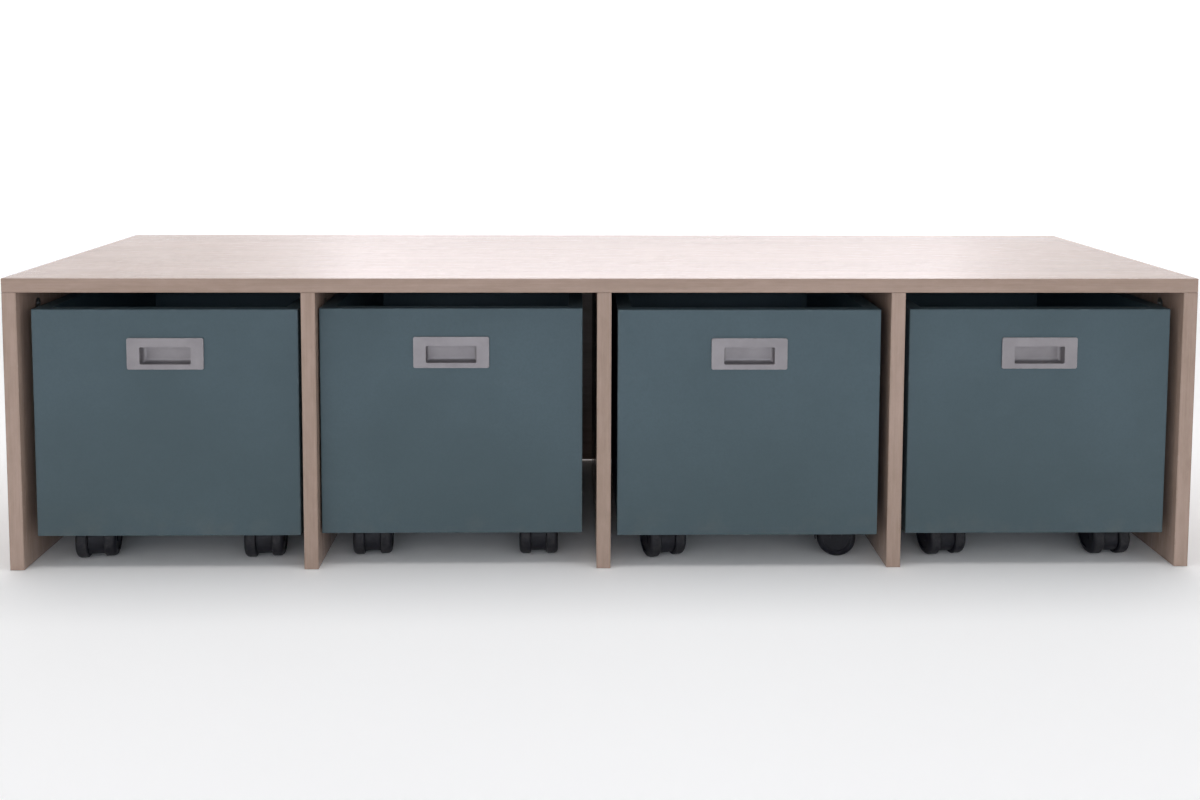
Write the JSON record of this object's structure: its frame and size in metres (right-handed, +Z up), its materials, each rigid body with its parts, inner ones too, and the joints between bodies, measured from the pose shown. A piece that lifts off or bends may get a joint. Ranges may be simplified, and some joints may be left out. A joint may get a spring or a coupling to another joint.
{
  "type": "cube storage unit",
  "caption": "Low bench of cube bays with a flat top, each bay holding an open-topped roll-out box with a flush finger pull and swivel casters.",
  "frame": {"origin": "on the floor, under the middle of the bench", "axes": "+X along the bench to the right as seen from the open front, +Y towards the back panel, +Z up"},
  "size_m": [1.5, 0.45, 0.372],
  "materials": {
    "bench_board": "satin",
    "cart_board": "matte",
    "pull_metal": "satin",
    "zinc_steel": "satin",
    "caster_hood": "satin",
    "caster_wheel": "satin"
  },
  "bodies": {
    "bench": {"top_board": "bench_board", "end_panel_left": "bench_board", "end_panel_right": "bench_board", "divider_1": "bench_board", "divider_2": "bench_board", "divider_3": "bench_board", "back_panel": "bench_board", "bench_fasteners": "zinc_steel"},
    "cart_1": {"cart_1_front": "cart_board", "cart_1_walls": "cart_board", "cart_1_base": "cart_board", "cart_1_pull": "pull_metal", "cart_1_hardware": "zinc_steel"},
    "caster_1_front_left": {"caster_1_front_left_hood": "caster_hood"},
    "caster_1_front_left_wheel_pair": {"caster_1_front_left_wheels": "caster_wheel"},
    "caster_1_front_right": {"caster_1_front_right_hood": "caster_hood"},
    "caster_1_front_right_wheel_pair": {"caster_1_front_right_wheels": "caster_wheel"},
    "caster_1_back_left": {"caster_1_back_left_hood": "caster_hood"},
    "caster_1_back_left_wheel_pair": {"caster_1_back_left_wheels": "caster_wheel"},
    "caster_1_back_right": {"caster_1_back_right_hood": "caster_hood"},
    "caster_1_back_right_wheel_pair": {"caster_1_back_right_wheels": "caster_wheel"},
    "cart_2": {"cart_2_front": "cart_board", "cart_2_walls": "cart_board", "cart_2_base": "cart_board", "cart_2_pull": "pull_metal", "cart_2_hardware": "zinc_steel"},
    "caster_2_front_left": {"caster_2_front_left_hood": "caster_hood"},
    "caster_2_front_left_wheel_pair": {"caster_2_front_left_wheels": "caster_wheel"},
    "caster_2_front_right": {"caster_2_front_right_hood": "caster_hood"},
    "caster_2_front_right_wheel_pair": {"caster_2_front_right_wheels": "caster_wheel"},
    "caster_2_back_left": {"caster_2_back_left_hood": "caster_hood"},
    "caster_2_back_left_wheel_pair": {"caster_2_back_left_wheels": "caster_wheel"},
    "caster_2_back_right": {"caster_2_back_right_hood": "caster_hood"},
    "caster_2_back_right_wheel_pair": {"caster_2_back_right_wheels": "caster_wheel"},
    "cart_3": {"cart_3_front": "cart_board", "cart_3_walls": "cart_board", "cart_3_base": "cart_board", "cart_3_pull": "pull_metal", "cart_3_hardware": "zinc_steel"},
    "caster_3_front_left": {"caster_3_front_left_hood": "caster_hood"},
    "caster_3_front_left_wheel_pair": {"caster_3_front_left_wheels": "caster_wheel"},
    "caster_3_front_right": {"caster_3_front_right_hood": "caster_hood"},
    "caster_3_front_right_wheel_pair": {"caster_3_front_right_wheels": "caster_wheel"},
    "caster_3_back_left": {"caster_3_back_left_hood": "caster_hood"},
    "caster_3_back_left_wheel_pair": {"caster_3_back_left_wheels": "caster_wheel"},
    "caster_3_back_right": {"caster_3_back_right_hood": "caster_hood"},
    "caster_3_back_right_wheel_pair": {"caster_3_back_right_wheels": "caster_wheel"},
    "cart_4": {"cart_4_front": "cart_board", "cart_4_walls": "cart_board", "cart_4_base": "cart_board", "cart_4_pull": "pull_metal", "cart_4_hardware": "zinc_steel"},
    "caster_4_front_left": {"caster_4_front_left_hood": "caster_hood"},
    "caster_4_front_left_wheel_pair": {"caster_4_front_left_wheels": "caster_wheel"},
    "caster_4_front_right": {"caster_4_front_right_hood": "caster_hood"},
    "caster_4_front_right_wheel_pair": {"caster_4_front_right_wheels": "caster_wheel"},
    "caster_4_back_left": {"caster_4_back_left_hood": "caster_hood"},
    "caster_4_back_left_wheel_pair": {"caster_4_back_left_wheels": "caster_wheel"},
    "caster_4_back_right": {"caster_4_back_right_hood": "caster_hood"},
    "caster_4_back_right_wheel_pair": {"caster_4_back_right_wheels": "caster_wheel"}
  },
  "joints": [
    {"name": "cart_1_roll", "type": "slide", "parent": "bench", "child": "cart_1", "axis": [0, -1, 0], "range_m": [-0.026, 0.45]},
    {"name": "caster_1_front_left_swivel", "type": "hinge", "parent": "cart_1", "child": "caster_1_front_left", "pos_m": [-0.65925, -0.16156, 0.05], "axis": [0, 0, 1], "continuous": true},
    {"name": "caster_1_front_left_spin", "type": "hinge", "parent": "caster_1_front_left", "child": "caster_1_front_left_wheel_pair", "pos_m": [-0.65647, -0.17732, 0.025], "axis": [0.9848, 0.1736, 0], "continuous": true},
    {"name": "caster_1_front_right_swivel", "type": "hinge", "parent": "cart_1", "child": "caster_1_front_right", "pos_m": [-0.44125, -0.16156, 0.05], "axis": [0, 0, 1], "continuous": true},
    {"name": "caster_1_front_right_spin", "type": "hinge", "parent": "caster_1_front_right", "child": "caster_1_front_right_wheel_pair", "pos_m": [-0.43958, -0.17747, 0.025], "axis": [0.9945, 0.1045, 0], "continuous": true},
    {"name": "caster_1_back_left_swivel", "type": "hinge", "parent": "cart_1", "child": "caster_1_back_left", "pos_m": [-0.65925, 0.13, 0.05], "axis": [0, 0, 1], "continuous": true},
    {"name": "caster_1_back_left_spin", "type": "hinge", "parent": "caster_1_back_left", "child": "caster_1_back_left_wheel_pair", "pos_m": [-0.65125, 0.11614, 0.025], "axis": [0.866, 0.5, 0], "continuous": true},
    {"name": "caster_1_back_right_swivel", "type": "hinge", "parent": "cart_1", "child": "caster_1_back_right", "pos_m": [-0.44125, 0.13, 0.05], "axis": [0, 0, 1], "continuous": true},
    {"name": "caster_1_back_right_spin", "type": "hinge", "parent": "caster_1_back_right", "child": "caster_1_back_right_wheel_pair", "pos_m": [-0.45351, 0.11972, 0.025], "axis": [0.6428, -0.766, 0], "continuous": true},
    {"name": "cart_2_roll", "type": "slide", "parent": "bench", "child": "cart_2", "axis": [0, -1, 0], "range_m": [-0.019, 0.45]},
    {"name": "caster_2_front_left_swivel", "type": "hinge", "parent": "cart_2", "child": "caster_2_front_left", "pos_m": [-0.30225, -0.15456, 0.05], "axis": [0, 0, 1], "continuous": true},
    {"name": "caster_2_front_left_spin", "type": "hinge", "parent": "caster_2_front_left", "child": "caster_2_front_left_wheel_pair", "pos_m": [-0.30086, -0.1705, 0.025], "axis": [0.9962, 0.0872, 0], "continuous": true},
    {"name": "caster_2_front_right_swivel", "type": "hinge", "parent": "cart_2", "child": "caster_2_front_right", "pos_m": [-0.08425, -0.15456, 0.05], "axis": [0, 0, 1], "continuous": true},
    {"name": "caster_2_front_right_spin", "type": "hinge", "parent": "caster_2_front_right", "child": "caster_2_front_right_wheel_pair", "pos_m": [-0.08397, -0.17056, 0.025], "axis": [0.9998, 0.0175, 0], "continuous": true},
    {"name": "caster_2_back_left_swivel", "type": "hinge", "parent": "cart_2", "child": "caster_2_back_left", "pos_m": [-0.30225, 0.137, 0.05], "axis": [0, 0, 1], "continuous": true},
    {"name": "caster_2_back_left_spin", "type": "hinge", "parent": "caster_2_back_left", "child": "caster_2_back_left_wheel_pair", "pos_m": [-0.30901, 0.1225, 0.025], "axis": [0.9063, -0.4226, 0], "continuous": true},
    {"name": "caster_2_back_right_swivel", "type": "hinge", "parent": "cart_2", "child": "caster_2_back_right", "pos_m": [-0.08425, 0.137, 0.05], "axis": [0, 0, 1], "continuous": true},
    {"name": "caster_2_back_right_spin", "type": "hinge", "parent": "caster_2_back_right", "child": "caster_2_back_right_wheel_pair", "pos_m": [-0.08011, 0.12155, 0.025], "axis": [0.9659, 0.2588, 0], "continuous": true},
    {"name": "cart_3_roll", "type": "slide", "parent": "bench", "child": "cart_3", "axis": [0, -1, 0], "range_m": [-0.029, 0.45]},
    {"name": "caster_3_front_left_swivel", "type": "hinge", "parent": "cart_3", "child": "caster_3_front_left", "pos_m": [0.07425, -0.16456, 0.05], "axis": [0, 0, 1], "continuous": true},
    {"name": "caster_3_front_left_spin", "type": "hinge", "parent": "caster_3_front_left", "child": "caster_3_front_left_wheel_pair", "pos_m": [0.07866, -0.17994, 0.025], "axis": [0.9613, 0.2756, 0], "continuous": true},
    {"name": "caster_3_front_right_swivel", "type": "hinge", "parent": "cart_3", "child": "caster_3_front_right", "pos_m": [0.29225, -0.16456, 0.05], "axis": [0, 0, 1], "continuous": true},
    {"name": "caster_3_front_right_spin", "type": "hinge", "parent": "caster_3_front_right", "child": "caster_3_front_right_wheel_pair", "pos_m": [0.30809, -0.16679, 0.025], "axis": [0.1392, 0.9903, 0], "continuous": true},
    {"name": "caster_3_back_left_swivel", "type": "hinge", "parent": "cart_3", "child": "caster_3_back_left", "pos_m": [0.07425, 0.127, 0.05], "axis": [0, 0, 1], "continuous": true},
    {"name": "caster_3_back_left_spin", "type": "hinge", "parent": "caster_3_back_left", "child": "caster_3_back_left_wheel_pair", "pos_m": [0.08875, 0.12024, 0.025], "axis": [0.4226, 0.9063, 0], "continuous": true},
    {"name": "caster_3_back_right_swivel", "type": "hinge", "parent": "cart_3", "child": "caster_3_back_right", "pos_m": [0.29225, 0.127, 0.05], "axis": [0, 0, 1], "continuous": true},
    {"name": "caster_3_back_right_spin", "type": "hinge", "parent": "caster_3_back_right", "child": "caster_3_back_right_wheel_pair", "pos_m": [0.29772, 0.11196, 0.025], "axis": [0.9397, 0.342, 0], "continuous": true},
    {"name": "cart_4_roll", "type": "slide", "parent": "bench", "child": "cart_4", "axis": [0, -1, 0], "range_m": [-0.025, 0.45]},
    {"name": "caster_4_front_left_swivel", "type": "hinge", "parent": "cart_4", "child": "caster_4_front_left", "pos_m": [0.44375, -0.16056, 0.05], "axis": [0, 0, 1], "continuous": true},
    {"name": "caster_4_front_left_spin", "type": "hinge", "parent": "caster_4_front_left", "child": "caster_4_front_left_wheel_pair", "pos_m": [0.44598, -0.1764, 0.025], "axis": [0.9903, 0.1392, 0], "continuous": true},
    {"name": "caster_4_front_right_swivel", "type": "hinge", "parent": "cart_4", "child": "caster_4_front_right", "pos_m": [0.66175, -0.16056, 0.05], "axis": [0, 0, 1], "continuous": true},
    {"name": "caster_4_front_right_spin", "type": "hinge", "parent": "caster_4_front_right", "child": "caster_4_front_right_wheel_pair", "pos_m": [0.66231, -0.17655, 0.025], "axis": [0.9994, 0.0349, 0], "continuous": true},
    {"name": "caster_4_back_left_swivel", "type": "hinge", "parent": "cart_4", "child": "caster_4_back_left", "pos_m": [0.44375, 0.131, 0.05], "axis": [0, 0, 1], "continuous": true},
    {"name": "caster_4_back_left_spin", "type": "hinge", "parent": "caster_4_back_left", "child": "caster_4_back_left_wheel_pair", "pos_m": [0.44653, 0.11524, 0.025], "axis": [0.9848, 0.1736, 0], "continuous": true},
    {"name": "caster_4_back_right_swivel", "type": "hinge", "parent": "cart_4", "child": "caster_4_back_right", "pos_m": [0.66175, 0.131, 0.05], "axis": [0, 0, 1], "continuous": true},
    {"name": "caster_4_back_right_spin", "type": "hinge", "parent": "caster_4_back_right", "child": "caster_4_back_right_wheel_pair", "pos_m": [0.64672, 0.12553, 0.025], "axis": [0.342, -0.9397, 0], "continuous": true}
  ]
}
